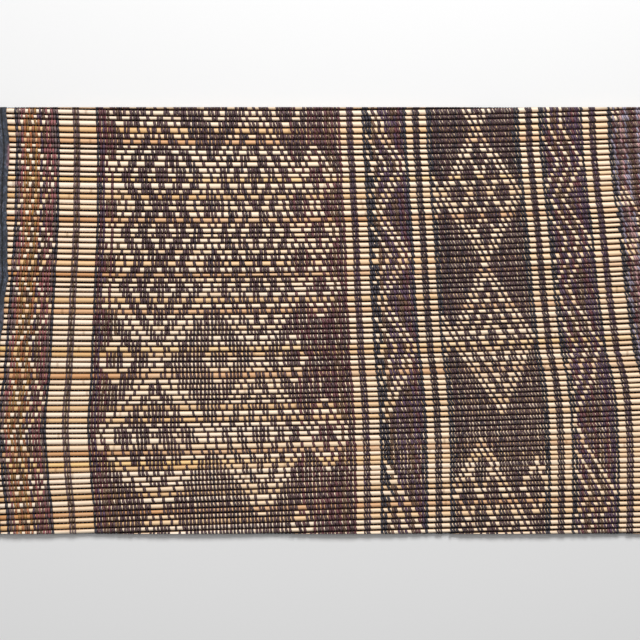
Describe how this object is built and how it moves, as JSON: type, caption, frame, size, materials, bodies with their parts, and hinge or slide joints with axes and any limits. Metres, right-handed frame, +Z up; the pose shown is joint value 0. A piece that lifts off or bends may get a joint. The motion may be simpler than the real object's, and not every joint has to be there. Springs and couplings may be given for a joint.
{
  "type": "reed and leather mat",
  "caption": "Flat cut length of a floor mat: reeds side by side, held by narrow leather strips woven across them in bands of diamonds and zigzags, with a leather edge binding.",
  "frame": {"origin": "middle of the mat's box, on the surface that it lies on", "axes": "+X along the reeds, away from the leather binding; +Y across the reeds, along the leather strips; +Z up"},
  "size_m": [0.54, 0.3416, 0.005],
  "materials": {
    "reed": "dry split reed, satin, cream to orange-brown from stalk to stalk",
    "strip_leather": "thin dyed leather strips, dark brown to black, maroon, ochre and purple, dull and worn",
    "binding_leather": "blue-black dyed leather, folded and sewn, dull"
  },
  "bodies": {
    "root": {"woven_field": "reed", "edge_binding": "binding_leather"}
  },
  "joints": []
}
